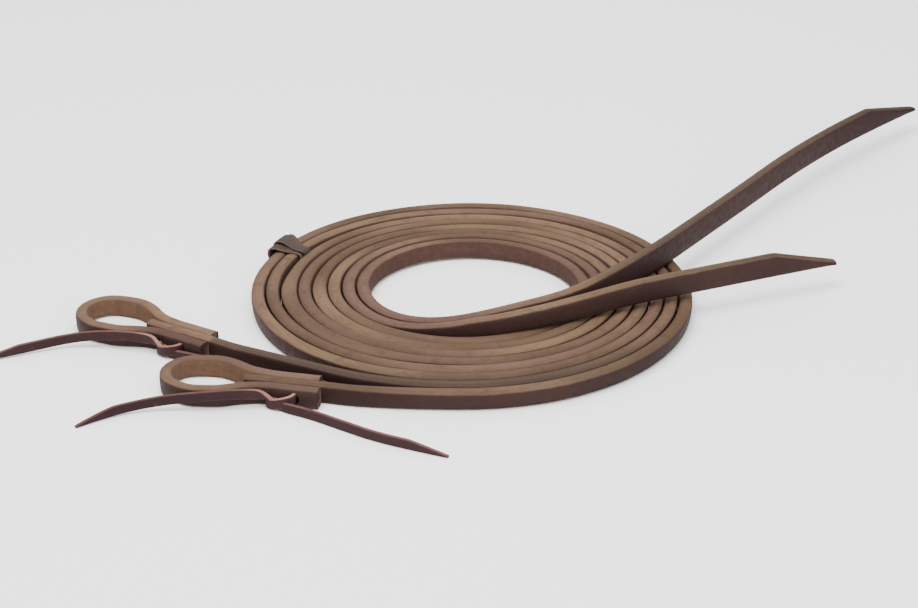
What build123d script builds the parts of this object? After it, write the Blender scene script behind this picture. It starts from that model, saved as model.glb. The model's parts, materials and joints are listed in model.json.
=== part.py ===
from build123d import *
import math
import os

# A pair of flat leather split reins, coiled together standing on edge.  The origin is the centre
# of the outermost quarter turn, on the surface that the coil stands on.  X runs to the right
# along the front of the coil, Y to its back and Z up.  All sizes are in millimetres.
# Every strap follows a flat path of straight runs and arcs.  A run is ("run", length) and an
# arc is ("arc", radius, turn), with a turn to the left positive, in degrees.

# Rein straps
STRAP_WIDTH = 9.5
STRAP_THICK = 6.2
HALF_THICK = STRAP_THICK / 2

# Coil: four turns, made of quarter arcs that shrink and drift a little towards the back
COIL_TURNS = 4
OUTER_RADIUS = 113.8
TURN_SHRINK = 14.54
SIDE_DRIFT = 0.18
BACK_DRIFT = 0.96
PAIR_OFFSET = TURN_SHRINK / 2
FRONT_OFFSET = (TURN_SHRINK + BACK_DRIFT) / 2
# The outermost pair stands off the turns inside it, so that the keeper can pass between them
KEEPER_GAP_FRONT = 0.40
KEEPER_GAP_RIGHT = 0.63

# Leads: the straps from the coil to the bit ends, which leave the coil at its front
NEAR_LEAD_ARC = (290.0, 12.7)
FAR_LEAD_ARC = (128.0, 28.0)
FAR_LEAD_RUN = 48.5
FAR_LEAD_EASE = (260.0, 4.5)
NEAR_LEAD_PIVOT_TURN = 2.0
FAR_LEAD_PIVOT_TURN = 4.5

# Tails: they climb out of the coil and leave over its right-hand side
TAIL_BASE = 9.9
NEAR_CLIMB = (-46.0, 12.0)
FAR_CLIMB = (-44.0, 18.0)
NEAR_TAIL_ARC = (100.0, 24.0)
NEAR_TAIL_RUN = 164.0
NEAR_TAIL_PIVOT_TURN = 10.8
FAR_TAIL_ARC = (90.0, 45.3)
FAR_TAIL_REST = (("arc", 350.0, 11.4), ("run", 110.0), ("arc", 700.0, -10.0), ("run", 31.5))
FAR_TAIL_PIVOT_TURN = 14.6
# Each tail's side profile: its rise halfway and at its tip, its width at its point, and the
# length of the slanting cut
NEAR_TAIL_SIDE = (2.7, 3.0, 12.0, 36.0)
FAR_TAIL_SIDE = (0.8, 1.6, 12.2, 43.0)
TAIL_LEVEL = 18.0
POINT_LIP = 2.2

# Water loops: one strap folded round, its two ends tied on both faces of the rein's end
JOINED_LENGTH = 39.0
LOOP_FLARE_START = 28.0
LOOP_FLARE = (22.0, 28.0)
LOOP_END_RADIUS = 15.5
LOOP_SIDE = 7.0
TIE_HOLES = (12.0, 26.0)
TIE_HOLE_RADIUS = 1.9

# Ties: thin laces through both holes, knotted on the front face
LACE_WIDTH = 4.8
LACE_THICK = 2.0
PEG_RADIUS = 1.6
LACE_BACK = 1.6
KNOT_LENGTH = 15.0
KNOT_DEPTH = 4.6
KNOT_HEIGHT = 8.0
LACE_BASE = 0.3
LACE_POINT = 18.0
LACE_TIP = 0.8
CORNER_SHARE = 0.45
NEAR_LEFT_ROUTE = ((-94.5, -112.1), (-106, -114.8), (-121, -115.8), (-136, -114.9),
                   (-149, -116.4), (-161, -121.2), (-170, -127.0), (-177.5, -133.0))
NEAR_RIGHT_ROUTE = ((-79.4, -119.0), (-69.8, -124.0), (-56, -134.0), (-41.5, -144.6),
                    (-25, -153.4), (-5.5, -162.0))
FAR_LEFT_ROUTE = ((-151.0, -53.2), (-159.5, -51.8), (-170, -49.2), (-181, -47.2),
                  (-193, -47.6), (-206, -52.4), (-219, -58.6), (-233.5, -65.0))
FAR_RIGHT_ROUTE = ((-134.4, -62.9), (-122, -68.9), (-109, -74.6), (-96, -81.0), (-83, -86.9),
                   (-70, -92.5), (-57, -98.7), (-46, -102.5))

# Keeper: a narrow strip wrapped round the two outermost straps
KEEPER_ANGLE = 154.5
KEEPER_WIDTH = 16.0
KEEPER_WALL = 1.2
KEEPER_SOLE = 0.9
KEEPER_CLEARANCE = 0.35
KEEPER_TRAVEL = (-30.0, 14.0)
TONGUE_WIDTH = 7.0
TONGUE_THICK = 1.4
TONGUE_REACH = 4.5
TONGUE_START = 7.0
# The straps are a little thinner underneath along the keeper's travel, to clear its sole
STRAP_RELIEF = 1.2
RELIEF_DEPTH = 17.4
RELIEF_MARGIN = 1.0

# A flexing strap turns about a round knuckle inside its own thickness
KNUCKLE_GAP = 0.3


def steer(start, heading, moves):
    """Give the start, heading and move of every stretch of a path, and then its end."""
    place = Vector(*start)
    stretches = []
    for move in moves:
        stretches.append((place, heading, move))
        ahead = Vector(1, 0).rotate(Axis.Z, heading)
        if move[0] == "run":
            place = place + ahead * move[1]
        else:
            side = Vector(0, math.copysign(move[1], move[2])).rotate(Axis.Z, heading)
            place = place + side - side.rotate(Axis.Z, move[2])
            heading = heading + move[2]
    return stretches, place, heading


def backtrack(end, heading, moves):
    """Give the start and heading of a path that ends at a known place and heading."""
    reverse = [(m[0], m[1]) if m[0] == "run" else (m[0], m[1], -m[2]) for m in reversed(moves)]
    _, place, back_heading = steer(end, heading + 180, reverse)
    return (place.X, place.Y), back_heading - 180


def draw_band(start, heading, moves, thick):
    """Draw the closed plan outline of a strap of one thickness along a path."""
    stretches, end, end_heading = steer(start, heading, moves)
    for side in (thick / 2, -thick / 2):
        for place, direction, move in stretches:
            ahead = Vector(1, 0).rotate(Axis.Z, direction)
            corner = place + Vector(0, side).rotate(Axis.Z, direction)
            if move[0] == "run":
                Line(corner, corner + ahead * move[1])
            else:
                radius = move[1] - math.copysign(side, move[2] * side)
                JernArc(corner, ahead, radius, move[2])
    for place, direction in ((Vector(*start), heading), (end, end_heading)):
        across = Vector(0, thick / 2).rotate(Axis.Z, direction)
        Line(place + across, place - across)


def band(start, heading, moves, bottom, height, thick=STRAP_THICK):
    """Raise a strap of one thickness, standing on edge, along a path in the active part."""
    with BuildSketch(Plane.XY.offset(bottom)) as outline:
        with BuildLine():
            draw_band(start, heading, moves, thick)
        make_face()
    extrude(outline.sketch, amount=height)


def trim_profile(plane, points, reach):
    """Keep only what lies inside a side profile that reaches both ways from its plane."""
    with BuildSketch(plane) as profile:
        Polygon(*points, align=None)
    extrude(profile.sketch, amount=reach, both=True, mode=Mode.INTERSECT)


def quarter_arcs(offset):
    """Give the coil's quarter arcs, smaller at each quarter, for a strap set in by offset."""
    shrink = TURN_SHRINK / 4
    steps = (shrink + SIDE_DRIFT / 2, shrink + BACK_DRIFT / 2,
             shrink - SIDE_DRIFT / 2, shrink - BACK_DRIFT / 2)
    radius = OUTER_RADIUS - offset
    arcs = []
    for quarter in range(4 * COIL_TURNS):
        arcs.append(("arc", radius, 90.0))
        radius = radius - steps[quarter % 4]
        if quarter == 3:
            radius = radius - KEEPER_GAP_FRONT
        if quarter == 4:
            radius = radius - KEEPER_GAP_RIGHT
    return arcs


def side_plane(place, heading):
    """Give the upright plane through a place whose X runs along a heading and Y is up."""
    ahead = Vector(1, 0, 0).rotate(Axis.Z, heading)
    return Plane(origin=(place.X, place.Y, 0), x_dir=ahead, z_dir=ahead.cross(Vector(0, 0, 1)))


def ring_sector(centre, inner, outer, first, last, bottom, height, mode=Mode.ADD):
    """Add or cut a slice of a ring between two angles in the active part."""
    with BuildSketch(Plane.XY.offset(bottom)) as sector:
        with BuildLine():
            CenterArc(centre, outer, first, last - first)
            CenterArc(centre, inner, first, last - first)
            for angle in (first, last):
                out = Vector(1, 0).rotate(Axis.Z, angle)
                Line(Vector(*centre) + out * inner, Vector(*centre) + out * outer)
        make_face()
    extrude(sector.sketch, amount=height, mode=mode)


os.makedirs("parts", exist_ok=True)


# ---------------------------------------------------------------- where the paths start and end
near_arcs = quarter_arcs(0)
far_arcs = quarter_arcs(PAIR_OFFSET)
near_front = (0.0, -OUTER_RADIUS)
far_front = (0.0, -OUTER_RADIUS + FRONT_OFFSET)

near_lead_moves = (("run", JOINED_LENGTH), ("arc", *NEAR_LEAD_ARC))
far_lead_moves = (("run", JOINED_LENGTH), ("arc", *FAR_LEAD_EASE), ("run", FAR_LEAD_RUN),
                  ("arc", *FAR_LEAD_ARC))
near_bit_end, near_bit_heading = backtrack(near_front, 0, near_lead_moves)
far_bit_end, far_bit_heading = backtrack(far_front, 0, far_lead_moves)

near_lead_pivot, near_pivot_heading = backtrack(
    near_front, 0, [("arc", NEAR_LEAD_ARC[0], NEAR_LEAD_PIVOT_TURN)])
far_lead_pivot, far_pivot_heading = backtrack(
    far_front, 0, [("arc", FAR_LEAD_ARC[0], FAR_LEAD_PIVOT_TURN)])

_, near_exit, _ = steer(near_front, 0, near_arcs)
_, far_exit, _ = steer(far_front, 0, far_arcs)
_, near_tail_pivot, near_tail_heading = steer(
    near_exit, 0, [("arc", NEAR_TAIL_ARC[0], NEAR_TAIL_PIVOT_TURN)])
_, far_tail_pivot, far_tail_heading = steer(
    far_exit, 0, [("arc", FAR_TAIL_ARC[0], FAR_TAIL_PIVOT_TURN)])

near_keeper_stretch = steer(near_front, 0, near_arcs)[0][2]
keeper_centre = near_keeper_stretch[0] - Vector(0, near_keeper_stretch[2][1])


# ---------------------------------------------------------------- rein straps
def make_coil(front, pivot, pivot_turn, lead_radius, arcs, climb, tail_arc, tail_turn, tail_pivot):
    """Wind one rein's coil, with the climb out of its last quarter turn."""
    level, lift, end = steer(front, 0, arcs[:-1])
    with BuildPart() as climb_part:
        band((lift.X, lift.Y), end, [arcs[-1], ("arc", tail_arc, tail_turn)],
             0, TAIL_BASE + STRAP_WIDTH)
        with Locations((tail_pivot.X, tail_pivot.Y, 0)):
            Cylinder(HALF_THICK + KNUCKLE_GAP, TAIL_BASE + STRAP_WIDTH,
                     align=(Align.CENTER, Align.CENTER, Align.MIN), mode=Mode.SUBTRACT)
        first, last = climb
        reach = OUTER_RADIUS
        trim_profile(Plane.XZ, [(-reach, 0), (first, 0), (last, TAIL_BASE), (reach, TAIL_BASE),
                                (reach, TAIL_BASE + STRAP_WIDTH), (last, TAIL_BASE + STRAP_WIDTH),
                                (first, STRAP_WIDTH), (-reach, STRAP_WIDTH)], reach)
    with BuildPart() as coil:
        band(pivot, -pivot_turn, [("arc", lead_radius, pivot_turn), *arcs[:-1]], 0, STRAP_WIDTH)
        add(climb_part.part)
        with Locations((*pivot, 0)):
            Cylinder(HALF_THICK + KNUCKLE_GAP, STRAP_WIDTH,
                     align=(Align.CENTER, Align.CENTER, Align.MIN), mode=Mode.SUBTRACT)
        edge = near_arcs[2][1] + HALF_THICK + KEEPER_CLEARANCE + KEEPER_WALL
        margin = math.degrees(KEEPER_WIDTH / 2 / OUTER_RADIUS) + RELIEF_MARGIN
        ring_sector((keeper_centre.X, keeper_centre.Y), edge - RELIEF_DEPTH, edge,
                    KEEPER_ANGLE + KEEPER_TRAVEL[0] - margin,
                    KEEPER_ANGLE + KEEPER_TRAVEL[1] + margin, 0, STRAP_RELIEF, mode=Mode.SUBTRACT)
    return coil


near_rein_coil = make_coil(near_front, near_lead_pivot, NEAR_LEAD_PIVOT_TURN, NEAR_LEAD_ARC[0],
                           near_arcs, NEAR_CLIMB, NEAR_TAIL_ARC[0], NEAR_TAIL_PIVOT_TURN,
                           near_tail_pivot)
near_rein_coil.part.label = "near_rein_coil"
export_step(near_rein_coil.part, "parts/near_rein_coil.step")

far_rein_coil = make_coil(far_front, far_lead_pivot, FAR_LEAD_PIVOT_TURN, FAR_LEAD_ARC[0],
                          far_arcs, FAR_CLIMB, FAR_TAIL_ARC[0], FAR_TAIL_PIVOT_TURN,
                          far_tail_pivot)
far_rein_coil.part.label = "far_rein_coil"
export_step(far_rein_coil.part, "parts/far_rein_coil.step")


def make_tail(pivot, heading, moves, side):
    """Make a tail that turns about its knuckle, rises a little and is cut to a point."""
    half_rise, rise, width, point = side
    _, tip, _ = steer((pivot.X, pivot.Y), heading, moves)
    span = tip - pivot
    length = span.length
    bearing = math.degrees(math.atan2(span.Y, span.X))
    middle = length / 2
    half_width = (STRAP_WIDTH + width) / 2
    tip_base = TAIL_BASE + rise
    with BuildPart() as tail:
        band((pivot.X, pivot.Y), heading, moves, 0, 3 * STRAP_WIDTH)
        with Locations((pivot.X, pivot.Y, 0)):
            Cylinder(HALF_THICK, 3 * STRAP_WIDTH,
                     align=(Align.CENTER, Align.CENTER, Align.MIN))
        trim_profile(side_plane(pivot, bearing),
                     [(-2 * STRAP_THICK, TAIL_BASE), (TAIL_LEVEL, TAIL_BASE),
                      (middle, TAIL_BASE + half_rise), (length + STRAP_THICK, tip_base),
                      (length + STRAP_THICK, tip_base + POINT_LIP), (length, tip_base + POINT_LIP),
                      (length - point, tip_base + width),
                      (middle, TAIL_BASE + half_rise + half_width),
                      (TAIL_LEVEL, TAIL_BASE + STRAP_WIDTH),
                      (-2 * STRAP_THICK, TAIL_BASE + STRAP_WIDTH)], length)
    return tail


near_rein_tail = make_tail(near_tail_pivot, near_tail_heading,
                           [("arc", NEAR_TAIL_ARC[0], NEAR_TAIL_ARC[1] - NEAR_TAIL_PIVOT_TURN),
                            ("run", NEAR_TAIL_RUN)], NEAR_TAIL_SIDE)
near_rein_tail.part.label = "near_rein_tail"
export_step(near_rein_tail.part, "parts/near_rein_tail.step")

far_rein_tail = make_tail(far_tail_pivot, far_tail_heading,
                          [("arc", FAR_TAIL_ARC[0], FAR_TAIL_ARC[1] - FAR_TAIL_PIVOT_TURN),
                           *FAR_TAIL_REST], FAR_TAIL_SIDE)
far_rein_tail.part.label = "far_rein_tail"
export_step(far_rein_tail.part, "parts/far_rein_tail.step")


def pierce(bit_end, heading):
    """Punch the two tie holes through everything at a bit end in the active part."""
    for hole in TIE_HOLES:
        _, place, _ = steer(bit_end, heading, [("run", JOINED_LENGTH - hole)])
        face = Plane(origin=(place.X, place.Y, STRAP_WIDTH / 2),
                     z_dir=Vector(0, 1, 0).rotate(Axis.Z, heading))
        with Locations(face):
            Cylinder(TIE_HOLE_RADIUS, 4 * STRAP_THICK, mode=Mode.SUBTRACT)


def make_lead(bit_end, heading, moves, pivot, pivot_turn):
    """Make the strap from a bit end to the knuckle where it joins the coil."""
    short = [*moves[:-1], ("arc", moves[-1][1], moves[-1][2] - pivot_turn)]
    with BuildPart() as lead:
        band(bit_end, heading, short, 0, STRAP_WIDTH)
        with Locations((*pivot, 0)):
            Cylinder(HALF_THICK, STRAP_WIDTH, align=(Align.CENTER, Align.CENTER, Align.MIN))
        pierce(bit_end, heading)
    return lead


near_rein_lead = make_lead(near_bit_end, near_bit_heading, near_lead_moves, near_lead_pivot,
                           NEAR_LEAD_PIVOT_TURN)
near_rein_lead.part.label = "near_rein_lead"
export_step(near_rein_lead.part, "parts/near_rein_lead.step")

far_rein_lead = make_lead(far_bit_end, far_bit_heading, far_lead_moves, far_lead_pivot,
                          FAR_LEAD_PIVOT_TURN)
far_rein_lead.part.label = "far_rein_lead"
export_step(far_rein_lead.part, "parts/far_rein_lead.step")


# ---------------------------------------------------------------- water loops
def make_loop(bit_end, heading):
    """Fold one strap into a teardrop loop whose two ends lie on both faces of the rein."""
    joint_end = steer(bit_end, heading, [("run", JOINED_LENGTH)])[1]
    start = joint_end + Vector(0, -STRAP_THICK).rotate(Axis.Z, heading)
    radius, turn = LOOP_FLARE
    bowed = (radius + LOOP_END_RADIUS) * (1 - math.cos(math.radians(turn)))
    slant = (LOOP_END_RADIUS - STRAP_THICK - bowed) / math.sin(math.radians(turn))
    half = [("run", LOOP_FLARE_START), ("arc", radius, turn), ("run", slant),
            ("arc", LOOP_END_RADIUS, -turn), ("run", LOOP_SIDE)]
    moves = [*half, ("arc", LOOP_END_RADIUS, -180.0), *reversed(half)]
    with BuildPart() as loop:
        band((start.X, start.Y), heading + 180, moves, 0, STRAP_WIDTH)
        pierce(bit_end, heading)
    return loop


near_bit_loop = make_loop(near_bit_end, near_bit_heading)
near_bit_loop.part.label = "near_bit_loop"
export_step(near_bit_loop.part, "parts/near_bit_loop.step")

far_bit_loop = make_loop(far_bit_end, far_bit_heading)
far_bit_loop.part.label = "far_bit_loop"
export_step(far_bit_loop.part, "parts/far_bit_loop.step")


# ---------------------------------------------------------------- ties
def bit_place(bit_end, heading, along, out, height):
    """Give the place at a distance from a joint's open end and out of its front face."""
    joint_end = steer(bit_end, heading, [("run", JOINED_LENGTH)])[1]
    step = Vector(-along, -1.5 * STRAP_THICK - out, height).rotate(Axis.Z, heading)
    return joint_end + step


def make_knot(bit_end, heading):
    """Make a tie's knot, its two legs through the holes and its bar across the back."""
    middle = sum(TIE_HOLES) / 2
    joint_thick = 3 * STRAP_THICK
    front = bit_place(bit_end, heading, middle, KNOT_DEPTH / 2, STRAP_WIDTH / 2)
    back = bit_place(bit_end, heading, middle, -joint_thick - LACE_BACK / 2, STRAP_WIDTH / 2)
    along = Vector(1, 0, 0).rotate(Axis.Z, heading)
    with BuildPart() as knot:
        with Locations(Plane(origin=front, x_dir=along, z_dir=(0, 0, 1))):
            Box(KNOT_LENGTH, KNOT_DEPTH, KNOT_HEIGHT)
        fillet(knot.edges().filter_by(Axis.Z), KNOT_DEPTH / 3)
        with Locations(Plane(origin=back, x_dir=along, z_dir=(0, 0, 1))):
            Box(TIE_HOLES[1] - TIE_HOLES[0] + 2 * PEG_RADIUS, LACE_BACK, 2 * PEG_RADIUS)
        for hole in TIE_HOLES:
            leg = bit_place(bit_end, heading, hole, -joint_thick / 2, STRAP_WIDTH / 2)
            with Locations(Plane(origin=leg, x_dir=along, z_dir=along.cross(Vector(0, 0, 1)))):
                Cylinder(PEG_RADIUS, joint_thick + LACE_BACK)
    return knot


near_tie_knot = make_knot(near_bit_end, near_bit_heading)
near_tie_knot.part.label = "near_tie_knot"
export_step(near_tie_knot.part, "parts/near_tie_knot.step")

far_tie_knot = make_knot(far_bit_end, far_bit_heading)
far_tie_knot.part.label = "far_tie_knot"
export_step(far_tie_knot.part, "parts/far_tie_knot.step")


def corner_radii(route):
    """Give each corner of a route the largest radius that its two runs allow."""
    places = [Vector(*point) for point in route]
    radii = []
    for before, corner, after in zip(places, places[1:], places[2:]):
        arrive, leave = corner - before, after - corner
        half_turn = math.radians(arrive.get_angle(leave)) / 2
        radii.append(CORNER_SHARE * min(arrive.length, leave.length) / math.tan(half_turn))
    return radii


def make_lace_end(route):
    """Lay a lace end on its edge along a route, from a round end to a tip cut on a slant."""
    radii = corner_radii(route)
    with BuildPart() as lace:
        with BuildLine(Plane.XY.offset(LACE_BASE + LACE_WIDTH / 2)) as path:
            FilletPolyline(*route, radius=radii)
        centre_line = path.wire()
        start, ahead = centre_line @ 0, centre_line % 0
        tip, tip_ahead = centre_line @ 1, centre_line % 1
        with BuildSketch(Plane(origin=start, x_dir=ahead.cross(Vector(0, 0, 1)), z_dir=ahead)):
            Rectangle(LACE_THICK, LACE_WIDTH)
        sweep()
        with Locations(start):
            Cylinder(LACE_THICK / 2, LACE_WIDTH)
        tip_plane = Plane(origin=(tip.X, tip.Y, LACE_BASE), x_dir=tip_ahead,
                          z_dir=tip_ahead.cross(Vector(0, 0, 1)))
        with BuildSketch(tip_plane):
            Polygon((-LACE_POINT, LACE_WIDTH), (-LACE_POINT, 2 * LACE_WIDTH),
                    (LACE_WIDTH, 2 * LACE_WIDTH), (LACE_WIDTH, LACE_TIP), (0, LACE_TIP), align=None)
        extrude(amount=2 * LACE_THICK, both=True, mode=Mode.SUBTRACT)
    print("lace end: length", round(centre_line.length, 1), "radii", [round(r) for r in radii])
    return lace


near_tie_left_end = make_lace_end(NEAR_LEFT_ROUTE)
near_tie_left_end.part.label = "near_tie_left_end"
export_step(near_tie_left_end.part, "parts/near_tie_left_end.step")

near_tie_right_end = make_lace_end(NEAR_RIGHT_ROUTE)
near_tie_right_end.part.label = "near_tie_right_end"
export_step(near_tie_right_end.part, "parts/near_tie_right_end.step")

far_tie_left_end = make_lace_end(FAR_LEFT_ROUTE)
far_tie_left_end.part.label = "far_tie_left_end"
export_step(far_tie_left_end.part, "parts/far_tie_left_end.step")

far_tie_right_end = make_lace_end(FAR_RIGHT_ROUTE)
far_tie_right_end.part.label = "far_tie_right_end"
export_step(far_tie_right_end.part, "parts/far_tie_right_end.step")


# ---------------------------------------------------------------- keeper
hub = (keeper_centre.X, keeper_centre.Y)
outside = near_arcs[2][1] + HALF_THICK + KEEPER_CLEARANCE
inside = outside - 2 * HALF_THICK - PAIR_OFFSET - 2 * KEEPER_CLEARANCE
half_width = math.degrees(KEEPER_WIDTH / 2 / outside)
half_tongue = math.degrees(TONGUE_WIDTH / 2 / outside)
lid = STRAP_WIDTH + KEEPER_CLEARANCE
with BuildPart() as keeper_strip:
    ring_sector(hub, inside - KEEPER_WALL, outside + KEEPER_WALL,
                KEEPER_ANGLE - half_width, KEEPER_ANGLE + half_width, 0, lid + KEEPER_WALL)
    ring_sector(hub, inside, outside, KEEPER_ANGLE - 2 * half_width, KEEPER_ANGLE + 2 * half_width,
                KEEPER_SOLE, lid - KEEPER_SOLE, mode=Mode.SUBTRACT)
    ring_sector(hub, inside - TONGUE_REACH, outside - TONGUE_START,
                KEEPER_ANGLE - half_tongue, KEEPER_ANGLE + half_tongue, lid + KEEPER_WALL,
                TONGUE_THICK)
keeper_strip.part.label = "keeper_strip"
export_step(keeper_strip.part, "parts/keeper_strip.step")
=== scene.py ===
import json
import math
from typing import NamedTuple

import bpy
from mathutils import Matrix, Vector, noise


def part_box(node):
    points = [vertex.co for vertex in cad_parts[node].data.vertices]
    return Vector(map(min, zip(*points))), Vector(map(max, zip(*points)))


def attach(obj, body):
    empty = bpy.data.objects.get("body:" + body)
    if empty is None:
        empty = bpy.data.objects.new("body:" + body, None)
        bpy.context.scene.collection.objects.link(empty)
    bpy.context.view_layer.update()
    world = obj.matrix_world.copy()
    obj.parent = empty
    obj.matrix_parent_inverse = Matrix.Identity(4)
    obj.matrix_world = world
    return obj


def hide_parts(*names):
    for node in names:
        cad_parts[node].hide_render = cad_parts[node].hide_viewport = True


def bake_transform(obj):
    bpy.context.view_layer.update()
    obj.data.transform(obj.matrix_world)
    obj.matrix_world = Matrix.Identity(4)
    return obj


# The looks of a pair of leather split reins, coiled together on edge.  Lengths are in metres.
# A path is a list of runs, ("run", length), and arcs, ("arc", radius, turn in degrees), with a
# turn to the left positive.  Every strap and lace is a mesh that follows a spline route.

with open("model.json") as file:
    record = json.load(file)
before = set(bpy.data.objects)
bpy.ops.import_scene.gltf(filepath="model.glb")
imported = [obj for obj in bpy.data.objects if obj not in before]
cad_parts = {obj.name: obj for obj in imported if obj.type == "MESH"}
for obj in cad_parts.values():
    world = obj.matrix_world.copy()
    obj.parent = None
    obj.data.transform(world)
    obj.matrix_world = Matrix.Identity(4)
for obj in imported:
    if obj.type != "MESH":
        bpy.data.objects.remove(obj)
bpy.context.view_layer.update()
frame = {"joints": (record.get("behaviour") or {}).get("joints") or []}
joints = {joint["name"]: Vector(joint["pos_m"]) for joint in frame["joints"]}

MM = 0.001
STRAP_WIDTH = 9.5 * MM
STRAP_THICK = 6.2 * MM
LACE_WIDTH = 4.8 * MM
LACE_THICK = 2.0 * MM
STATION_STEP = 2.5 * MM
CONTROL_STEP = 12 * MM
UV_UNIT = 0.1

COIL_TURNS = 4
TURN_SHRINK = 14.54 * MM
SIDE_DRIFT = 0.18 * MM
BACK_DRIFT = 0.96 * MM
PAIR_OFFSET = TURN_SHRINK / 2
FRONT_OFFSET = (TURN_SHRINK + BACK_DRIFT) / 2
KEEPER_GAPS = {3: 0.40 * MM, 4: 0.63 * MM}
TAIL_BASE = 9.9 * MM
JOINED_LENGTH = 39 * MM
POINT_LIP = 2.2 * MM
OUTER_RADIUS = -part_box("near_rein_coil")[0].y - STRAP_THICK / 2

# Straps lean outwards by these degrees in the coil, and thicken where neighbours should touch.
HOLE_CENTRE = Vector((3 * MM, 2 * MM))
SIDE_LEAN = 6.0
FRONT_LEAN = 10.0
BACK_LEAN = 1.0
INNER_BACK_LEAN = 11.0
FRONT_AND_BACK_SWELL = 0.50 * MM
LEFT_SWELL = 0.50 * MM
RIGHT_SWELL = 0.25 * MM
SWELL_LENGTH = 140 * MM
LATE_CLIMB = 22 * MM
REAR_LEG_PUSH = 0.8 * MM

LOOP_END_RADIUS = 15.5 * MM
LOOP_FLARE_RADIUS = 22 * MM
LOOP_FLARE_TURN = 28.0
LOOP_SIDE = 7 * MM
LOOP_LEG = 28 * MM
LOOP_STEP = 0.8 * MM
GROOVE_DEPTH = 0.9 * MM
GROOVE_HALF_WIDTH = 0.7 * MM
TIE_HOLES = ((12.2, 2.3 * MM), (26.0, 1.9 * MM))

LACE_STEP = 1.5 * MM
LACE_POINT = 20 * MM
LACE_TIP = 0.9 * MM
PALE_START = {"left": 22 * MM, "right": 8 * MM}

KEEPER_THICK = 1.2 * MM
KEEPER_STEP = 0.8 * MM
KEEPER_TIP = 1.2 * MM
KEEPER_SPREAD = (96 * MM, 110 * MM)
KEEPER_SHIFT = 3.4 * MM


# ------------------------------------------------------------ camera, lights and floor
def add_camera():
    """Look down at the coil from its front."""
    data = bpy.data.cameras.new("camera")
    data.lens = 102.0
    data.sensor_width = 36.0
    data.dof.use_dof = False
    camera = bpy.data.objects.new("camera", data)
    camera.location = (-0.0007, -1.1969, 0.5565)
    camera.rotation_euler = (math.radians(65.116), 0, 0)
    bpy.context.scene.collection.objects.link(camera)
    bpy.context.scene.camera = camera


def add_area(name, place, target, size, power, tint):
    """Add a soft square lamp that faces a target."""
    data = bpy.data.lights.new(name, "AREA")
    data.shape = "SQUARE"
    data.size = size
    data.energy = power
    data.color = tint
    lamp = bpy.data.objects.new(name, data)
    lamp.location = place
    lamp.rotation_euler = (Vector(target) - Vector(place)).to_track_quat("-Z", "Y").to_euler()
    bpy.context.scene.collection.objects.link(lamp)


# ------------------------------------------------------------ materials
class Graph:
    """A material's node tree, with a short way to add nodes and links."""

    def __init__(self, name):
        self.material = bpy.data.materials.new(name)
        self.material.use_nodes = True
        self.tree = self.material.node_tree
        self.shader = self.tree.nodes["Principled BSDF"]
        texture_map = self.tree.nodes.new("ShaderNodeUVMap")
        texture_map.uv_map = "UVMap"
        self.place = texture_map.outputs["UV"]

    def add(self, kind, inputs=(), **settings):
        """Add a node, set its settings, and set or link its inputs by name or number."""
        node = self.tree.nodes.new(kind)
        for key, value in settings.items():
            setattr(node, key, value)
        for key, value in dict(inputs).items():
            if isinstance(value, bpy.types.NodeSocket):
                self.tree.links.new(value, node.inputs[key])
            else:
                node.inputs[key].default_value = value
        return node

    def stretched(self, along, across):
        """Give the texture place with its two directions scaled apart."""
        return self.add("ShaderNodeMapping", {"Vector": self.place,
                                              "Scale": (along, across, 1)}).outputs[0]

    def noise(self, scale, detail=4.0, rough=0.55, place=None, distort=0.0):
        """Give a fractal noise of about 0 to 1."""
        return self.add("ShaderNodeTexNoise", {
            "Vector": place or self.place, "Scale": scale, "Detail": detail,
            "Roughness": rough, "Distortion": distort}).outputs["Fac"]

    def cells(self, scale, place=None):
        """Give the distance to the nearest cell's point."""
        node = self.add("ShaderNodeTexVoronoi", feature="F1")
        self.tree.links.new(place or self.place, node.inputs["Vector"])
        node.inputs["Scale"].default_value = scale
        return node.outputs["Distance"]

    def fit(self, value, low, high, to_low=0.0, to_high=1.0):
        """Map a range of values to another, smoothly and clamped."""
        return self.add("ShaderNodeMapRange", {
            "Value": value, "From Min": low, "From Max": high, "To Min": to_low,
            "To Max": to_high}, interpolation_type="SMOOTHSTEP").outputs["Result"]

    def blend(self, amount, first, second):
        """Mix two colours."""
        node = self.add("ShaderNodeMix", data_type="RGBA", blend_type="MIX")
        for socket, value in zip((node.inputs[0], node.inputs[6], node.inputs[7]),
                                 (amount, first, second)):
            if isinstance(value, bpy.types.NodeSocket):
                self.tree.links.new(value, socket)
            else:
                socket.default_value = value
        return node.outputs[2]

    def math(self, operation, first, second):
        """Combine two values."""
        return self.add("ShaderNodeMath", {0: first, 1: second}, operation=operation).outputs[0]

    def attribute(self, name):
        """Read a value that the mesh carries at its points."""
        return self.add("ShaderNodeAttribute", attribute_name=name).outputs["Fac"]


def rgb(red, green, blue):
    """Give a linear colour from 0-255 screen values."""
    def linear(value):
        value = value / 255
        return value / 12.92 if value <= 0.04045 else ((value + 0.055) / 1.055) ** 2.4
    return (linear(red), linear(green), linear(blue), 1.0)


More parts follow.
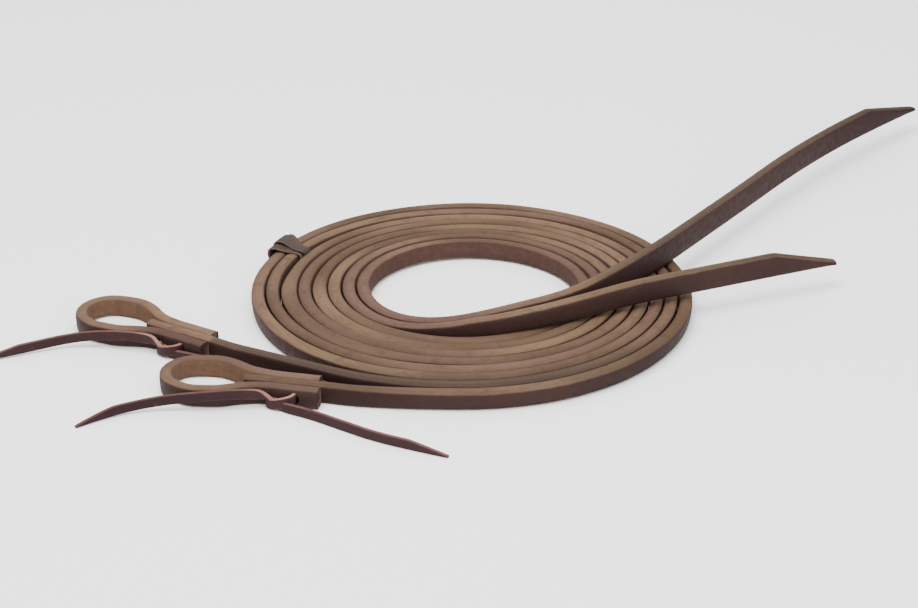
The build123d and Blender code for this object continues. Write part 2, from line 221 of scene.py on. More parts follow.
def leather(name, face, edge, flesh, worn=None, gloss=0.62, grain=1.0):
    """Make leather with a dyed face, cut edges and a rough flesh side.

    The mesh says where each is: rim is 1 on a cut edge, flesh is 1 on the flesh side and dye
    says how far the face's colour covers the edge.  Noise is scaled for the UV map's unit.
    """
    g = Graph(name)
    big = g.noise(1.6, 2.0, 0.5, g.stretched(0.45, 1.0))
    hue = g.noise(2.3, 3.0, 0.5, g.stretched(0.35, 1.0), 0.3)
    mid = g.noise(30.0, 5.0, 0.6)
    fine = g.noise(190.0, 4.0, 0.62)
    streaks = g.noise(46.0, 5.0, 0.6, g.stretched(0.22, 1.0), 0.5)
    fibres = g.noise(210.0, 3.0, 0.55, g.stretched(0.12, 1.0))
    pores = g.cells(165.0)
    wear = g.noise(11.0, 6.0, 0.68)
    spots = g.cells(15.0, g.stretched(0.7, 1.0))

    # The dyed face: two tones, rubbed through to the edge's colour, with dark pores.
    dark, light = face
    dyed = g.blend(g.fit(big, 0.35, 0.65), dark, light)
    dyed = g.blend(g.fit(mid, 0.40, 0.75, 0.0, 0.50), dyed, light)
    dyed = g.blend(g.fit(wear, 0.58, 0.76, 0.0, 0.45), dyed, edge[0])
    dyed = g.blend(g.fit(fine, 0.50, 0.72, 0.0, 0.35), dyed, (0.010, 0.006, 0.005, 1))

    # The cut edges: three tones with streaks along the strap, dark spots and dye over them.
    cut = g.blend(g.fit(big, 0.38, 0.64), edge[0], edge[1])
    cut = g.blend(g.fit(hue, 0.46, 0.66, 0.0, 0.65), cut, edge[2])
    cut = g.blend(g.fit(streaks, 0.42, 0.70, 0.0, 0.38), cut, edge[0])
    cut = g.blend(g.fit(wear, 0.52, 0.70, 0.0, 0.40), cut, light)
    cut = g.blend(g.fit(fine, 0.48, 0.74, 0.0, 0.34), cut, dark)
    cut = g.blend(g.fit(spots, 0.015, 0.06, 0.45, 0.0), cut, dark)
    cut = g.blend(g.fit(fibres, 0.56, 0.76, 0.0, 0.28), cut, dark)
    cut = g.blend(g.math("MULTIPLY", g.attribute("dye"), 0.85), cut, worn or light)

    dyed = g.blend(g.math("MULTIPLY", g.attribute("dye"), 0.45), dyed, dark)

    # The flesh side: two close tones with faint bands across the strap.
    raw = g.blend(g.fit(mid, 0.35, 0.70), flesh[0], flesh[1])
    raw = g.blend(g.fit(g.noise(14.0, 4.0, 0.6, g.stretched(1.0, 0.35)), 0.45, 0.70, 0.0, 0.25),
                  raw, light)
    raw = g.blend(g.fit(fine, 0.50, 0.75, 0.0, 0.35), raw, edge[0])

    # Put the three where the mesh says, with an uneven line between edge and face.
    rim = g.attribute("rim")
    frayed = g.math("ADD", rim, g.fit(g.noise(14.0, 3.0, 0.5), 0.3, 0.7, -0.07, 0.07))
    on_cut = g.fit(frayed, 0.16, 0.72)
    colour = g.blend(g.attribute("flesh"), dyed, raw)
    colour = g.blend(on_cut, colour, cut)
    g.tree.links.new(colour, g.shader.inputs["Base Color"])

    # Edges and the flesh side are duller than the face.
    shine = g.fit(mid, 0.3, 0.7, gloss - 0.06, gloss + 0.12)
    shine = g.math("ADD", shine, g.math("MULTIPLY", on_cut, 0.16))
    shine = g.math("ADD", shine, g.math("MULTIPLY", g.attribute("flesh"), 0.24))
    g.tree.links.new(shine, g.shader.inputs["Roughness"])
    g.shader.inputs["Specular IOR Level"].default_value = 0.11

    # The relief: pores and grain, and fibres along the cut edges.
    height = g.math("MULTIPLY", g.fit(pores, 0.0, 0.6), 0.34 * grain)
    height = g.math("ADD", height, g.math("MULTIPLY", mid, 0.9))
    height = g.math("ADD", height, g.math("MULTIPLY", fine, 0.36))
    height = g.math("ADD", height, g.math("MULTIPLY", g.math("MULTIPLY", streaks, on_cut), 0.7))
    height = g.math("SUBTRACT", height, g.math("MULTIPLY", on_cut,
                                               g.fit(spots, 0.015, 0.06, 0.5, 0.0)))
    bump = g.add("ShaderNodeBump", {"Height": height, "Strength": 0.35, "Distance": 0.0004})
    g.tree.links.new(bump.outputs["Normal"], g.shader.inputs["Normal"])
    return g.material


def plain_floor():
    """Make the pale floor's material."""
    g = Graph("floor")
    g.shader.inputs["Roughness"].default_value = 0.9
    g.shader.inputs["Base Color"].default_value = (0.93, 0.93, 0.93, 1)
    return g.material


# ------------------------------------------------------------ routes
def steer(start, heading, moves):
    """Give spline control points that follow a plan path, then its end and heading."""
    place = Vector(start[:2])
    points = []
    for move in moves:
        ahead = Vector((math.cos(math.radians(heading)), math.sin(math.radians(heading))))
        if move[0] == "run":
            count = max(1, round(move[1] / CONTROL_STEP))
            points += [place + ahead * move[1] * i / count for i in range(count)]
            place = place + ahead * move[1]
        else:
            radius, turn = move[1:]
            count = max(1, round(radius * math.radians(abs(turn)) / CONTROL_STEP))
            part = math.radians(turn) / count
            centre = place + Vector((-ahead.y, ahead.x)) * math.copysign(radius, turn)
            spoke = place - centre
            for i in range(count):
                points.append(centre + Matrix.Rotation(part * i, 2) @ spoke / math.cos(part / 2))
            place = centre + Matrix.Rotation(math.radians(turn), 2) @ spoke
            heading = heading + turn
    return points, place, heading


def backtrack(end, heading, moves):
    """Give the start and heading of a path that ends at a known place and heading."""
    reverse = [m if m[0] == "run" else (m[0], m[1], -m[2]) for m in reversed(moves)]
    _, place, back = steer(end, heading + 180, reverse)
    return place, back - 180


def spline_line(points):
    """Draw a quadratic NURBS route through control points, and read its line back."""
    data = bpy.data.curves.new("route", "CURVE")
    data.dimensions = "3D"
    data.resolution_u = 6
    spline = data.splines.new("NURBS")
    spline.points.add(len(points) - 1)
    for target, point in zip(spline.points, points):
        target.co = (*point, 1)
    spline.order_u = 3
    spline.use_endpoint_u = True
    route = bpy.data.objects.new("route", data)
    bpy.context.scene.collection.objects.link(route)
    ready = route.evaluated_get(bpy.context.evaluated_depsgraph_get())
    mesh = bpy.data.meshes.new_from_object(ready)
    line = [vertex.co.copy() for vertex in mesh.vertices]
    bpy.data.objects.remove(route)
    bpy.data.curves.remove(data)
    bpy.data.meshes.remove(mesh)
    return line


def even_line(line, step=STATION_STEP):
    """Walk along a line in even steps and give each place with its distance."""
    lengths = [0.0]
    for before, after in zip(line, line[1:]):
        lengths.append(lengths[-1] + (after - before).length)
    count = max(4, round(lengths[-1] / step))
    places, index = [], 0
    for i in range(count + 1):
        far = lengths[-1] * i / count
        while index < len(lengths) - 2 and lengths[index + 1] < far:
            index += 1
        gap = lengths[index + 1] - lengths[index]
        share = (far - lengths[index]) / gap if gap > 1e-9 else 0
        places.append((line[index].lerp(line[index + 1], min(1, max(0, share))), far))
    return places


def smooth(value, low, high):
    """Rise from 0 at low to 1 at high with soft ends."""
    share = min(1.0, max(0.0, (value - low) / (high - low)))
    return share * share * (3 - 2 * share)


def wander(far, seed, wave):
    """Give a gentle random value of about -1 to 1 along a strap."""
    return noise.noise(Vector((far / wave, seed * 7.31, seed * 1.7))) * 1.8


# ------------------------------------------------------------ straps
class Station:
    """One cross-section of a strap: its centre, side and up directions, size and dye."""

    def __init__(self, centre, side, up, thick, width, far, dye=0.0):
        self.centre, self.side, self.up = centre, side, up
        self.thick, self.width, self.far, self.dye = thick, width, far, dye


def outline(thick, width, corner, crown):
    """Give a section's points as (across, up, distance round it, rim share, which face)."""
    corner = min(corner, thick * 0.45, width * 0.45)
    half_t, half_w = thick / 2, width / 2
    points = [(0, -half_w - crown / 2, 1.0, 0)]
    for right, top in ((1, 0), (1, 1), (0, 1), (0, 0)):
        centre = ((half_t - corner) * (1 if right else -1), (half_w - corner) * (1 if top else -1))
        start = {(1, 0): -90, (1, 1): 0, (0, 1): 90, (0, 0): 180}[(right, top)]
        for i in range(4):
            angle = math.radians(start + 30 * i)
            edge = abs(math.sin(angle)) ** 1.5
            points.append((centre[0] + corner * math.cos(angle),
                           centre[1] + corner * math.sin(angle), edge, 1 if right else -1))
        if (right, top) == (1, 0):
            points += [(half_t + crown * 0.8, y * half_w, 0.0, 1) for y in (-0.35, 0.0, 0.35)]
        if (right, top) == (1, 1):
            points += [(x * half_t, half_w + crown, 1.0, 0) for x in (0.4, 0.0, -0.4)]
        if (right, top) == (0, 1):
            points += [(-half_t - crown * 0.8, y * half_w, 0.0, -1) for y in (0.35, 0.0, -0.35)]
    round_it, total = [], 0.0
    for before, after in zip(points, points[1:] + points[:1]):
        round_it.append(total)
        total += math.hypot(after[0] - before[0], after[1] - before[1])
    return [(p[0], p[1], v, p[2], p[3]) for p, v in zip(points, round_it)], total


def strap_mesh(name, stations, material, flesh_side=0, corner=1.7 * MM, crown=0.22 * MM,
               seed=0.0, caps=(True, True), cap_rim=1.0):
    """Build a strap along its stations, with texture places and rim and flesh values."""
    verts, rims, fleshes, dyes, places = [], [], [], [], []
    faces, face_places = [], []

    def put(point, rim, flesh, dye, u, v):
        verts.append(point)
        rims.append(rim)
        fleshes.append(flesh)
        dyes.append(dye)
        places.append((u, v))
        return len(verts) - 1

    rings = []
    for station in stations:
        section, total = outline(station.thick, station.width, corner, crown)
        ring = []
        for across, up, v, rim, face in section:
            point = station.centre + station.side * across + station.up * up
            flesh = 1.0 if flesh_side and face == flesh_side else 0.0
            ring.append(put(point, rim, flesh * (1 - rim), station.dye,
                            station.far / UV_UNIT + seed, v / UV_UNIT))
        rings.append((ring, total / UV_UNIT))
    size = len(rings[0][0])
    for (ring, total), (after, after_total) in zip(rings, rings[1:]):
        for i in range(size):
            j = (i + 1) % size
            corners = (ring[i], after[i], after[j], ring[j])
            spots = [places[c] for c in corners]
            if j == 0:
                spots[2] = (spots[2][0], after_total)
                spots[3] = (spots[3][0], total)
            faces.append(corners[::-1])
            face_places.append(spots[::-1])
    for at_end, wanted in zip((False, True), caps):
        if not wanted:
            continue
        station = stations[-1 if at_end else 0]
        outer = rings[-1 if at_end else 0][0]
        copy = []
        for c in outer:
            arm = (verts[c] - station.centre) / UV_UNIT
            copy.append(put(verts[c], cap_rim, 0.0, station.dye, seed + arm.dot(station.side),
                            arm.dot(station.up)))
        middle = put(station.centre, cap_rim, 0.0, station.dye, seed, 0.0)
        for i in range(size):
            j = (i + 1) % size
            corners = (middle, copy[i], copy[j]) if not at_end else (middle, copy[j], copy[i])
            faces.append(corners)
            face_places.append([places[c] for c in corners])
    mesh = bpy.data.meshes.new(name)
    mesh.from_pydata(verts, [], faces)
    layer = mesh.uv_layers.new(name="UVMap")
    spots = [spot for face in face_places for spot in face]
    for loop, spot in zip(layer.data, spots):
        loop.uv = spot
    for key, values in (("rim", rims), ("flesh", fleshes), ("dye", dyes)):
        attribute = mesh.attributes.new(key, "FLOAT", "POINT")
        attribute.data.foreach_set("value", values)
    mesh.shade_smooth()
    mesh.materials.append(material)
    piece = bpy.data.objects.new(name, mesh)
    bpy.context.scene.collection.objects.link(piece)
    return piece


def stand(lift, lean, thick, width):
    """Give the height of a leaning strap's centre when its lowest corner is at lift."""
    tilt = math.radians(lean)
    return lift + width / 2 * math.cos(tilt) + thick / 2 * abs(math.sin(tilt))


def make_stations(line, shape, step=STATION_STEP):
    """Turn a line into stations; shape gives (push, rise, lean, thick, width, dye) at each."""
    places = even_line(line, step)
    stations = []
    for i, (place, far) in enumerate(places):
        before, after = places[max(0, i - 1)][0], places[min(len(places) - 1, i + 1)][0]
        ahead = (after - before).normalized()
        right = Vector((ahead.y, -ahead.x, 0)).normalized()
        push, rise, lean, thick, width, dye = shape(place, far)
        tilt = math.radians(lean)
        upright = right.cross(ahead)
        side = right * math.cos(tilt) - upright * math.sin(tilt)
        up = upright * math.cos(tilt) + right * math.sin(tilt)
        centre = place + right * push + Vector((0, 0, rise))
        stations.append(Station(centre, side, up, thick, width, far, dye))
    return stations


def quarter_arcs(offset):
    """Give the coil's quarter arcs, smaller at each quarter, for a strap set in by offset."""
    shrink = TURN_SHRINK / 4
    steps = (shrink + SIDE_DRIFT / 2, shrink + BACK_DRIFT / 2,
             shrink - SIDE_DRIFT / 2, shrink - BACK_DRIFT / 2)
    radius = OUTER_RADIUS - offset
    arcs = []
    for quarter in range(4 * COIL_TURNS):
        arcs.append(("arc", radius, 90.0))
        radius = radius - steps[quarter % 4] - KEEPER_GAPS.get(quarter, 0.0)
    return arcs


def path_length(moves):
    """Give a path's length."""
    return sum(m[1] if m[0] == "run" else m[1] * math.radians(abs(m[2])) for m in moves)


class Plan:
    """One rein's route in plan, with the distances along it where its parts start."""

    def __init__(self, front, offset, lead_moves, tail_moves):
        arcs = quarter_arcs(offset)
        start, heading = backtrack(front, 0, lead_moves)
        moves = [*lead_moves, *arcs, *tail_moves]
        points, end, _ = steer(start, heading, moves)
        self.line = spline_line([(*p, 0.0) for p in [*points, end]])
        self.total = path_length(moves)
        coil_start = path_length(lead_moves)
        self.quarters = [coil_start + path_length(arcs[:i]) for i in range(len(arcs) + 1)]
        self.coil_start = coil_start
        self.last_quarter = self.quarters[-2]
        self.tail_start = self.quarters[-1]
        self.tail_middle = (self.tail_start + self.total) / 2


class Style(NamedTuple):
    """What sets one rein apart from the other."""

    climb: tuple  # the places along X where its tail starts and ends its climb
    half_rise: float  # how far its tail rises by its middle, and then by its end
    rise: float
    tail_width: float
    slant: float  # the length of its end's slanted cut
    thinning: float  # how much thinner its tail gets
    tail_lean: float
    swells: tuple  # quarters of the coil where it is thicker, and by how much
    slide: float  # how far out its tail lies at its start
    dyed_from: tuple  # distances along the tail between which its edges become dyed
    tail_dye: float
    lead_dye: float


def coil_thick(around, inside):
    """Give a strap's thickness at an angle round the coil."""
    swell = (FRONT_AND_BACK_SWELL * math.sin(around) ** 2
             + LEFT_SWELL * smooth(-math.cos(around), 0.2, 0.9)
             + RIGHT_SWELL * smooth(math.cos(around), 0.2, 0.9))
    return STRAP_THICK + inside * swell


def coil_lean(around, innermost):
    """Give a strap's outward lean in degrees at an angle round the coil."""
    facing = math.sin(around)
    back = BACK_LEAN + (INNER_BACK_LEAN - BACK_LEAN) * innermost
    full = FRONT_LEAN if facing < 0 else back
    return SIDE_LEAN + (full - SIDE_LEAN) * facing ** 2


def rein_shape(plan, style, seed):
    """Give the function that shapes a rein's sections along its way."""
    swells = [(plan.quarters[quarter] - 24 * MM, amount) for quarter, amount in style.swells]

    def local_swell(far):
        return sum(amount * smooth(far, start, start + 32 * MM)
                   * (1 - smooth(far, start + 100 * MM, start + SWELL_LENGTH))
                   for start, amount in swells)

    def edge_dye(far):
        if far < JOINED_LENGTH:
            return 0.0
        tail = smooth(far, plan.tail_start + style.dyed_from[0],
                      plan.tail_start + style.dyed_from[1])
        lead = 1 - smooth(far, plan.coil_start + 20 * MM, plan.coil_start + 180 * MM)
        return style.tail_dye * tail + style.lead_dye * lead

    def sideways(far, inside):
        past_tail = far - plan.tail_start
        slid = smooth(past_tail, 4 * MM, 20 * MM) * (1 - smooth(past_tail, 60 * MM, 100 * MM))
        joined = 1 - smooth(far, JOINED_LENGTH, JOINED_LENGTH + 15 * MM)
        return (0.30 * MM * inside * wander(far, seed + 3, 0.12) + style.slide * slid
                - REAR_LEG_PUSH * joined)

    def tail_lift(place, far):
        half = smooth(far, plan.tail_start + 8 * MM, plan.tail_middle)
        rest = smooth(far, plan.tail_middle - 20 * MM, plan.total)
        climbed = smooth(place.x, style.climb[0], style.climb[1] + LATE_CLIMB)
        return TAIL_BASE * climbed + style.half_rise * half + (style.rise - style.half_rise) * rest

    def tail_width(far, width):
        widened = smooth(far, plan.tail_start - 10 * MM, plan.tail_start + 110 * MM)
        width += (style.tail_width - STRAP_WIDTH) * widened
        if far > plan.total - style.slant:
            width = POINT_LIP + (width - POINT_LIP) * (plan.total - far) / style.slant
        return width

    def shape(place, far):
        around = math.atan2(place.y - HOLE_CENTRE.y, place.x - HOLE_CENTRE.x)
        leaning = smooth(far, JOINED_LENGTH, plan.coil_start) * (
            1 - smooth(far, plan.last_quarter, plan.tail_start + 20 * MM))
        inside = smooth(far, plan.coil_start - 10 * MM, plan.coil_start + 60 * MM) * (
            1 - smooth(far, plan.last_quarter, plan.tail_start))
        innermost = smooth(far, plan.last_quarter - 0.20, plan.last_quarter - 0.06)
        lean = (coil_lean(around, innermost) + 1.8 * wander(far, seed, 0.09)) * leaning
        lean += style.tail_lean * smooth(far, plan.tail_start + 60 * MM,
                                         plan.tail_start + 150 * MM)
        swell = local_swell(far)
        thick = coil_thick(around, inside) + swell
        push = sideways(far, inside) + swell / 2
        lift = 0.25 * MM * inside * (1 + wander(far, seed + 5, 0.10))
        width = STRAP_WIDTH + 0.18 * MM * wander(far, seed + 9, 0.07)
        if far > plan.last_quarter:
            lift += tail_lift(place, far)
            width = tail_width(far, width)
            thick -= style.thinning * smooth(far, plan.tail_start + 60 * MM, plan.total)
        return push, stand(lift, lean, thick, width), lean, thick, width, edge_dye(far)

    return shape


def rein(key, plan, style, seed):
    """Build one rein's whole strap as a lead, a coil and a tail that meet at its hinges."""
    stations = make_stations(plan.line, rein_shape(plan, style, seed))

    def nearest(pivot, low, high):
        choice = [i for i, s in enumerate(stations) if low <= s.far <= high]
        return min(choice, key=lambda i: (stations[i].centre.xy - pivot.xy).length)

    first = nearest(joints[key + "_end_swing"], 0, plan.coil_start + 20 * MM)
    last = nearest(joints[key + "_tail_flex"], plan.tail_start, plan.total)
    made = []
    for part, section, caps in (("lead", stations[:first + 1], (True, False)),
                                ("coil", stations[first:last + 1], (False, False)),
                                ("tail", stations[last:], (False, True))):
        piece = strap_mesh(key + "_" + part, section, strap_leather,
                           flesh_side=-1, seed=seed, caps=caps, cap_rim=0.3)
        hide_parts(key + "_rein_" + part)
        made.append((piece, section))
    return made


def declare(stations, backwards=False):
    """Gather a strap's or lace's centre line, reversed when backwards; nothing is done with it."""
    path = [s.centre for s in stations]
    if backwards:
        path = path[::-1]


# ------------------------------------------------------------ bit loops
class Joint:
    """The place where a rein's end and its loop's two ends are tied together."""

    def __init__(self, bit_end, heading):
        self.heading = heading
        turn = math.radians(heading)
        self.ahead = Vector((math.cos(turn), math.sin(turn), 0))
        self.left = Vector((-self.ahead.y, self.ahead.x, 0))
        self.end = Vector((*bit_end[:2], 0)) + self.ahead * JOINED_LENGTH

    def at(self, back, out, height):
        """Give the place that far back from the open end, out of the front and up, in mm."""
        return (self.end - self.ahead * back * MM - self.left * (1.5 * STRAP_THICK + out * MM)
                + Vector((0, 0, height * MM)))


def punch(piece, joint, back, radius):
    """Punch a hole through the loop's front end, where the lace comes out."""
    place = joint.at(back, 1, STRAP_WIDTH / 2 / MM)
    turn = Matrix.Rotation(math.radians(90), 4, "X")
    bpy.ops.mesh.primitive_cylinder_add(vertices=24, radius=radius, depth=14 * MM)
    tool = bpy.context.object
    tool.matrix_world = (Matrix.Translation(place)
                         @ Matrix.Rotation(math.radians(joint.heading), 4, "Z") @ turn)
    cut = piece.modifiers.new("hole", "BOOLEAN")
    cut.operation = "DIFFERENCE"
    cut.solver = "EXACT"
    cut.object = tool
    ready = piece.evaluated_get(bpy.context.evaluated_depsgraph_get())
    cut_mesh = bpy.data.meshes.new_from_object(ready)
    piece.modifiers.remove(cut)
    piece.data = cut_mesh
    bpy.data.objects.remove(tool)


def bit_loop(key, joint, trims, grooves, seed):
    """Fold a strap into a loop, flesh side inwards, with its ends on both faces of the rein."""
    turn = math.radians(LOOP_FLARE_TURN)
    bowed = (LOOP_FLARE_RADIUS + LOOP_END_RADIUS) * (1 - math.cos(turn))
    slant = (LOOP_END_RADIUS - STRAP_THICK - bowed) / math.sin(turn)
    half = [("arc", LOOP_FLARE_RADIUS, LOOP_FLARE_TURN), ("run", slant),
            ("arc", LOOP_END_RADIUS, -LOOP_FLARE_TURN), ("run", LOOP_SIDE)]
    moves = [("run", LOOP_LEG - trims[0]), *half, ("arc", LOOP_END_RADIUS, -180.0),
             *reversed(half), ("run", LOOP_LEG - trims[1])]
    start = joint.end - joint.left * STRAP_THICK - joint.ahead * trims[0]
    points, end, _ = steer(start, joint.heading + 180, moves)
    line = spline_line([(*p, 0.0) for p in [*points, end]])

    def shape(place, far):
        reach = -(place - joint.end).dot(joint.ahead)
        out = smooth(reach, 36 * MM, 80 * MM)
        thick = STRAP_THICK - 0.5 * MM * out
        lean = -2.0 * out + 1.5 * wander(far, seed, 0.05)
        width = STRAP_WIDTH + 0.12 * MM * wander(far, seed + 2, 0.03)
        for groove in grooves:
            thick -= GROOVE_DEPTH * math.exp(-((far - groove) / GROOVE_HALF_WIDTH) ** 2)
        dye = 0.85 * (1 - smooth(far, 24 * MM, 50 * MM))
        return 0.0, stand(0.3 * MM * out, lean, thick, width), lean, thick, width, dye

    stations = make_stations(line, shape, LOOP_STEP)
    piece = strap_mesh(key + "_loop", stations, loop_leather, flesh_side=1,
                       corner=1.3 * MM, seed=seed, cap_rim=0.15)
    for back, radius in TIE_HOLES:
        punch(piece, joint, back, radius)
    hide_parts(key + "_bit_loop")
    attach(piece, key + "_end")


# ------------------------------------------------------------ laces
def lace(name, points, seed, flesh_side=1, pointed=True, twist=0.0, pale=0.0):
    """Build a lace along a route, twisted at its start and cut to a slanted tip."""
    line = spline_line(points)
    total = even_line(line)[-1][1]

    def shape(place, far):
        width = LACE_WIDTH + 0.15 * MM * wander(far, seed, 0.02)
        rise = 0.0
        if pointed and far > total - LACE_POINT:
            share = (total - far) / LACE_POINT
            cut = LACE_TIP + (width - LACE_TIP) * share ** 0.9
            rise = -(width - cut) / 2
            width = cut
        lean = 3.0 * wander(far, seed + 4, 0.04) + twist * (1 - smooth(far, 1 * MM, 13 * MM))
        dye = 0.85 * smooth(far, pale * 0.3, pale) if pale else 0.0
        return 0.0, rise, lean, LACE_THICK, width, dye

    stations = make_stations(line, shape, LACE_STEP)
    return strap_mesh(name, stations, lace_leather, flesh_side=flesh_side,
                      corner=0.45 * MM, crown=0.08 * MM, seed=seed), stations


def free_route(places, heights):
    """Give a lace's route on the ground from plan places and heights, all in mm."""
    return [Vector((x * MM, y * MM, z * MM)) for (x, y), z in zip(places, heights)]


# ------------------------------------------------------------ build
add_camera()
add_area("key", (-0.25, -0.35, 1.35), (0, 0, 0), 1.1, 38.0, (1.0, 0.985, 0.96))
add_area("fill", (0.7, -1.1, 0.75), (0, -0.05, 0), 0.9, 11.0, (0.96, 0.98, 1.0))
add_area("back", (0.2, 1.2, 0.9), (0, 0, 0), 1.0, 9.0, (1.0, 1.0, 1.0))
world = bpy.data.worlds.new("world")
world.use_nodes = True
world.node_tree.nodes["Background"].inputs["Color"].default_value = (0.95, 0.96, 1.0, 1)
world.node_tree.nodes["Background"].inputs["Strength"].default_value = 1.15
bpy.context.scene.world = world
bpy.ops.mesh.primitive_plane_add(size=8, location=(0, 0, 0))
floor = bpy.context.object
floor.name = "floor"
floor.data.materials.append(plain_floor())

strap_leather = leather("strap_leather",
                        (rgb(36, 22, 20), rgb(54, 36, 32)),
                        (rgb(72, 56, 42), rgb(105, 83, 64), rgb(94, 70, 61)),
                        (rgb(60, 42, 37), rgb(71, 51, 45)), worn=rgb(56, 45, 39))
loop_leather = leather("loop_leather",
                       (rgb(42, 29, 27), rgb(62, 44, 40)),
                       (rgb(77, 59, 46), rgb(112, 88, 68), rgb(98, 75, 63)),
                       (rgb(86, 64, 50), rgb(96, 72, 57)))
lace_leather = leather("lace_leather",
                       (rgb(37, 20, 22), rgb(54, 34, 35)),
                       (rgb(104, 70, 60), rgb(150, 112, 96), rgb(124, 88, 78)),
                       (rgb(84, 50, 40), rgb(106, 68, 52)), gloss=0.55, grain=0.6)
keeper_leather = leather("keeper_leather",
                         (rgb(52, 42, 38), rgb(72, 60, 54)),
                         (rgb(88, 68, 62), rgb(116, 92, 84), rgb(100, 78, 72)),
                         (rgb(56, 40, 33), rgb(72, 54, 45)), gloss=0.68)

near_lead_moves = [("run", JOINED_LENGTH), ("arc", 290 * MM, 12.7)]
far_lead_moves = [("run", JOINED_LENGTH), ("arc", 260 * MM, 4.5), ("run", 48.5 * MM),
                  ("arc", 128 * MM, 28.0)]
near_tail_moves = [("arc", 100 * MM, 24.0), ("run", 164 * MM)]
far_tail_moves = [("arc", 90 * MM, 45.3), ("arc", 350 * MM, 11.4), ("run", 110 * MM),
                  ("arc", 700 * MM, -10.0), ("run", 31.5 * MM)]
near_front = (0.0, -OUTER_RADIUS)
far_front = (0.0, -OUTER_RADIUS + FRONT_OFFSET)
near_style = Style(climb=(-46 * MM, 12 * MM), half_rise=2.7 * MM, rise=3.0 * MM,
                   tail_width=12 * MM, slant=36 * MM, thinning=0.8 * MM, tail_lean=0.0,
                   swells=((7, 1.6 * MM), (11, 0.8 * MM)), slide=1.4 * MM,
                   dyed_from=(50 * MM, 170 * MM), tail_dye=0.75, lead_dye=0.4)
far_style = Style(climb=(-44 * MM, 18 * MM), half_rise=0.4 * MM, rise=2.4 * MM,
                  tail_width=13.2 * MM, slant=45 * MM, thinning=0.0, tail_lean=-6.0,
                  swells=(), slide=0.0,
                  dyed_from=(30 * MM, 140 * MM), tail_dye=0.9, lead_dye=0.85)
near_plan = Plan(near_front, 0.0, near_lead_moves, near_tail_moves)
far_plan = Plan(far_front, PAIR_OFFSET, far_lead_moves, far_tail_moves)
reins = {"near": rein("near", near_plan, near_style, 1.0),
         "far": rein("far", far_plan, far_style, 2.0)}
for key, pieces in reins.items():
    (lead, lead_run), (coil, coil_run), (tail, tail_run) = pieces
    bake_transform(lead)
    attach(coil, "coil")
    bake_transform(tail)
    declare(lead_run, backwards=True)
    declare(coil_run)
    declare(tail_run)

joint_of = {key: Joint(*backtrack(front, 0, moves))
            for key, front, moves in (("near", near_front, near_lead_moves),
                                      ("far", far_front, far_lead_moves))}
end_trims = {"near": (1.0 * MM, 3.6 * MM), "far": (0.0, 3.4 * MM)}
end_grooves = {"near": (), "far": (3.0 * MM, 6.2 * MM)}
for seed, (key, joint) in enumerate(joint_of.items()):
    bit_loop(key, joint, end_trims[key], end_grooves[key], 5.0 + seed)

near_left = free_route(((-94.5, -112.1), (-106, -114.8), (-121, -115.8), (-136, -114.9),
                        (-149, -116.4), (-161, -121.2), (-170, -127.0), (-177.5, -133.0)),
                       (7.0, 8.2, 7.6, 5.6, 3.9, 3.0, 2.7, 2.6))
near_right = free_route(((-79.4, -119.0), (-69.8, -124.0), (-56, -134.0), (-41.5, -144.6),
                         (-25, -153.4), (-5.5, -162.0)), (2.7, 2.6, 2.6, 2.6, 2.6, 2.6))
far_left = free_route(((-151.0, -53.2), (-159.5, -51.8), (-170, -49.2), (-181, -47.2),
                       (-193, -47.6), (-206, -52.4), (-219, -58.6), (-233.5, -65.0)),
                      (7.2, 8.0, 7.4, 6.2, 4.7, 3.7, 3.2, 2.9))
far_right = free_route(((-134.4, -62.9), (-122, -68.9), (-109, -74.6), (-96, -81.0),
                        (-83, -86.9), (-70, -92.5), (-57, -98.7), (-46, -102.5)),
                       (2.8, 2.7, 2.7, 2.7, 2.7, 2.7, 2.7, 2.6))
left_tuck = ((19.0, 0.9, 3.2), (21.5, 1.7, 4.0), (25.2, 2.4, 5.8))
near_right_tuck = ((21.5, 1.3, 2.6), (18.6, 3.0, 2.5), (15.6, 5.0, 2.6))
far_right_tuck = ((21.5, 1.3, 2.6), (17.0, 2.8, 2.6), (12.8, 3.0, 2.7))
bar = ((12.2, -2.5, 5.3), (12.2, 0.9, 5.3), (13.6, 3.2, 5.1), (17.5, 4.9, 4.3),
       (21.0, 4.4, 3.2), (23.8, 3.2, 2.8), (25.0, 1.2, 2.9), (25.2, -2.5, 3.2))
laces = {
    "near_left": (left_tuck, near_left, "near_tie_left"),
    "near_right": (near_right_tuck, near_right, "near_tie_right"),
    "far_left": (left_tuck, far_left, "far_tie_left"),
    "far_right": (far_right_tuck, far_right, None),
}
for seed, (name, (tuck, route, moving)) in enumerate(laces.items()):
    key, side = name.split("_")
    body = key + "_end"
    points = [*(joint_of[key].at(*p) for p in tuck), *route]
    piece, run = lace(key + "_lace_" + side, points, 10.0 + seed,
                      flesh_side=1 if side == "left" else -1,
                      twist=-80.0 if side == "left" else 0.0, pale=PALE_START[side])
    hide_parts(key + "_tie_" + side + "_end")
    if moving:
        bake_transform(piece)
    else:
        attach(piece, body)
    declare(run)
for seed, (key, joint) in enumerate(joint_of.items()):
    knot, _ = lace(key + "_knot", [joint.at(*p) for p in bar], 16.0 + seed, pointed=False)
    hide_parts(key + "_tie_knot")
    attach(knot, key + "_end")


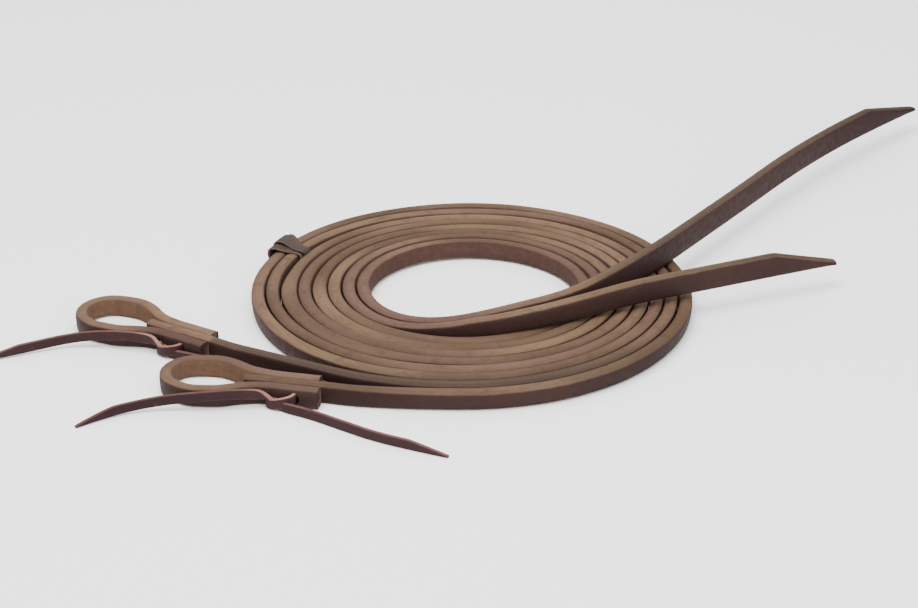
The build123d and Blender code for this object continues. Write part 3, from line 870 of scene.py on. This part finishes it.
# ------------------------------------------------------------ keeper
def strip(name, profile, widths, seed, point=0.0, dye=0.0):
    """Wrap a strip round the two outer straps.

    The profile's points are (outwards from the keeper's hinge, up) and the widths are those at
    its inner and outer side, all in mm.
    """
    hub = Vector((joints["keeper_slide"].x, joints["keeper_slide"].y, 0))
    low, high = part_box("keeper_strip")
    angle = math.atan2((low.y + high.y) / 2 - hub.y, (low.x + high.x) / 2 - hub.x)
    out = Vector((math.cos(angle), math.sin(angle), 0))
    along = Vector((-out.y, out.x, 0))
    places = even_line(spline_line([Vector((r * MM, 0, z * MM)) for r, z in profile]), KEEPER_STEP)
    total = places[-1][1]
    stations = []
    for i, (place, far) in enumerate(places):
        before, after = places[max(0, i - 1)][0], places[min(len(places) - 1, i + 1)][0]
        ahead = (after - before).normalized()
        side = Vector((0, 0, ahead.x)) - out * ahead.z
        outer = smooth(place.x, *KEEPER_SPREAD)
        wide = (widths[0] + (widths[1] - widths[0]) * outer) * MM
        wide *= 1 + 0.06 * wander(far, seed + 6, 0.01)
        shift = -KEEPER_SHIFT * outer + 0.5 * MM * wander(far, seed, 0.008)
        centre = hub + out * place.x + Vector((0, 0, place.z)) + along * shift
        if point and far > total - point:
            wide = KEEPER_TIP + (wide - KEEPER_TIP) * ((total - far) / point) ** 0.8
        stations.append(Station(centre, side, along, KEEPER_THICK, wide, far, dye))
    piece = strap_mesh(name, stations, keeper_leather, corner=0.4 * MM,
                       crown=0.06 * MM, seed=seed)
    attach(piece, "keeper")
    return piece


def keeper():
    """Wrap the keeper strip, with its point pulled through its slit and turned down."""
    band = strip("keeper_band", ((99, 0.7), (109.4, 0.7), (110.9, 1.0), (111.4, 5.0),
                                 (112.6, 9.6), (110.6, 12.2), (105.4, 11.4), (98.6, 10.7),
                                 (94.6, 10.6), (94.0, 8.2), (94.1, 2.5), (94.6, 0.75),
                                 (99.5, 0.7)), (9.5, 21.0), 20.0)
    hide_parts("keeper_strip")
    strip("keeper_end", ((112.6, 9.4), (111.4, 13.6), (106.5, 14.2), (102.5, 12.4),
                         (97.5, 11.9), (93.8, 12.0), (92.4, 10.2), (92.6, 6.6)),
          (6.5, 9.5), 23.0, point=5 * MM, dye=0.8)


keeper()
